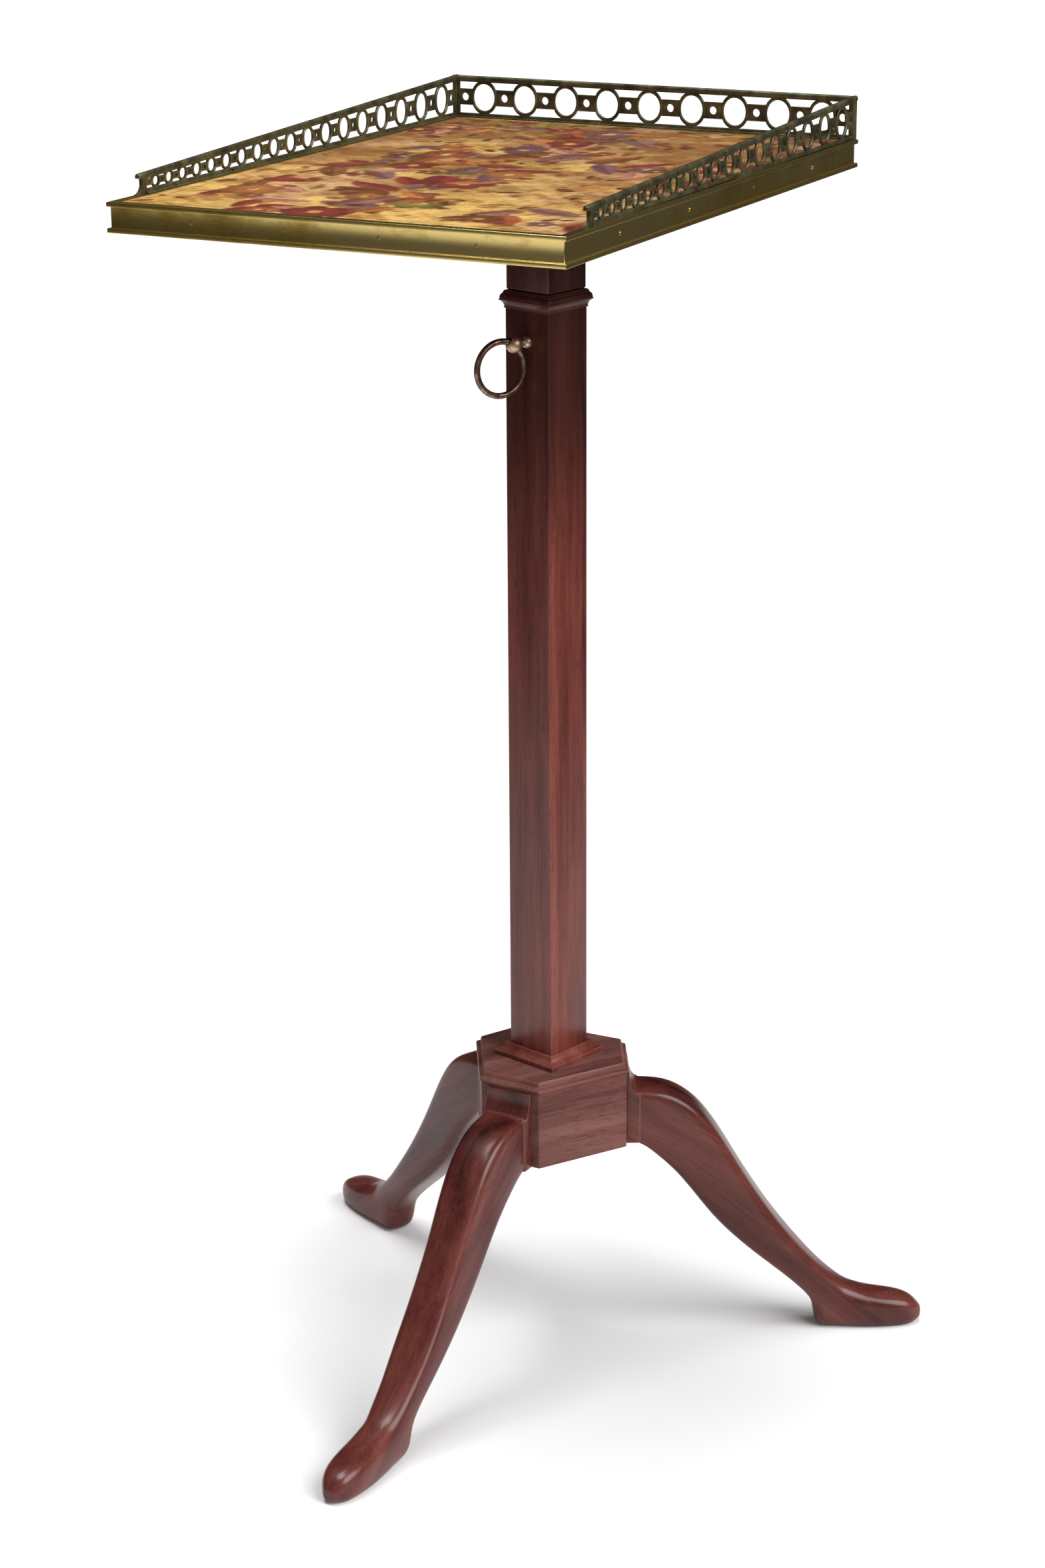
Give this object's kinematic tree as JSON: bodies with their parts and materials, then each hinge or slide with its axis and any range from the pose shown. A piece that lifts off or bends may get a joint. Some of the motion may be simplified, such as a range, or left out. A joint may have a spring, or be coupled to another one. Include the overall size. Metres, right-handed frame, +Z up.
{
  "type": "display table",
  "caption": "Tall display table: a galleried, brass-edged rectangular tray that swivels on a telescopic square column, with a sprung catch and three cabriole legs.",
  "frame": {"origin": "centre of the floor under the middle of the tray, on the plane of the feet's soles; the column's axis is 68 mm behind it", "axes": "+Z up; -Y towards the tray's open front edge; +X to the right of someone who faces that edge"},
  "size_m": [0.5498, 0.5188, 0.9971],
  "materials": {
    "mahogany": "waxed, semi-gloss",
    "secondary_wood": "stained, matt",
    "decorated_panel": "painted and varnished",
    "band_brass": "aged, satin",
    "gallery_brass": "dark patina",
    "iron": "dark, matt",
    "leather": "matt"
  },
  "bodies": {
    "stand": {"leg_front": "mahogany", "leg_right": "mahogany", "leg_left": "mahogany", "base_block": "mahogany", "block_cap": "mahogany", "column_foot_moulding": "mahogany", "leg_strap": "iron", "strap_screws": "iron", "column_board_front": "mahogany", "column_board_back": "mahogany", "column_board_left": "mahogany", "column_board_right": "mahogany", "column_plug": "secondary_wood", "collar": "mahogany", "mouth_bush": "band_brass", "catch_rose": "band_brass", "catch_spring": "iron", "spring_screws": "iron"},
    "riser": {"shaft": "mahogany", "stop_strip": "band_brass", "strip_pins": "band_brass", "shaft_shoe": "leather", "head_block": "mahogany", "swivel_lower": "band_brass", "swivel_lower_screws": "iron", "swivel_pin": "iron"},
    "top": {"swivel_upper": "band_brass", "swivel_upper_screws": "iron", "swivel_washer": "iron", "bearer": "secondary_wood", "bearer_screws": "iron", "tray_core": "secondary_wood", "tray_panel": "decorated_panel", "band_front": "band_brass", "band_back": "band_brass", "band_left": "band_brass", "band_right": "band_brass", "band_pins": "band_brass", "gallery_back": "gallery_brass", "gallery_left": "gallery_brass", "gallery_right": "gallery_brass", "gallery_screws": "gallery_brass", "rail_back": "gallery_brass", "rail_left": "gallery_brass", "rail_right": "gallery_brass", "post_back_left": "gallery_brass", "post_back_right": "gallery_brass", "post_front_left": "gallery_brass", "post_front_right": "gallery_brass"},
    "catch": {"catch_bolt": "band_brass"},
    "ring": {"ring_pull": "band_brass"}
  },
  "joints": [
    {"name": "column_rise", "type": "slide", "parent": "stand", "child": "riser", "axis": [0, 0, 1], "range_m": [0, 0.35]},
    {"name": "top_turn", "type": "hinge", "parent": "riser", "child": "top", "pos_m": [0, 0.068, 0.9225], "axis": [0, 0, 1], "continuous": true},
    {"name": "catch_pull", "type": "slide", "parent": "stand", "child": "catch", "axis": [-0.2588, -0.9659, 0], "range_m": [0, 0.003], "stiffness_N_per_m": 900, "springref_m": -0.003, "deforming": ["catch_spring"]},
    {"name": "ring_swing", "type": "hinge", "parent": "catch", "child": "ring", "pos_m": [-0.00947, 0.03265, 0.829], "axis": [-0.4393, -0.7031, 0.5592], "range_deg": [0, 70]}
  ]
}
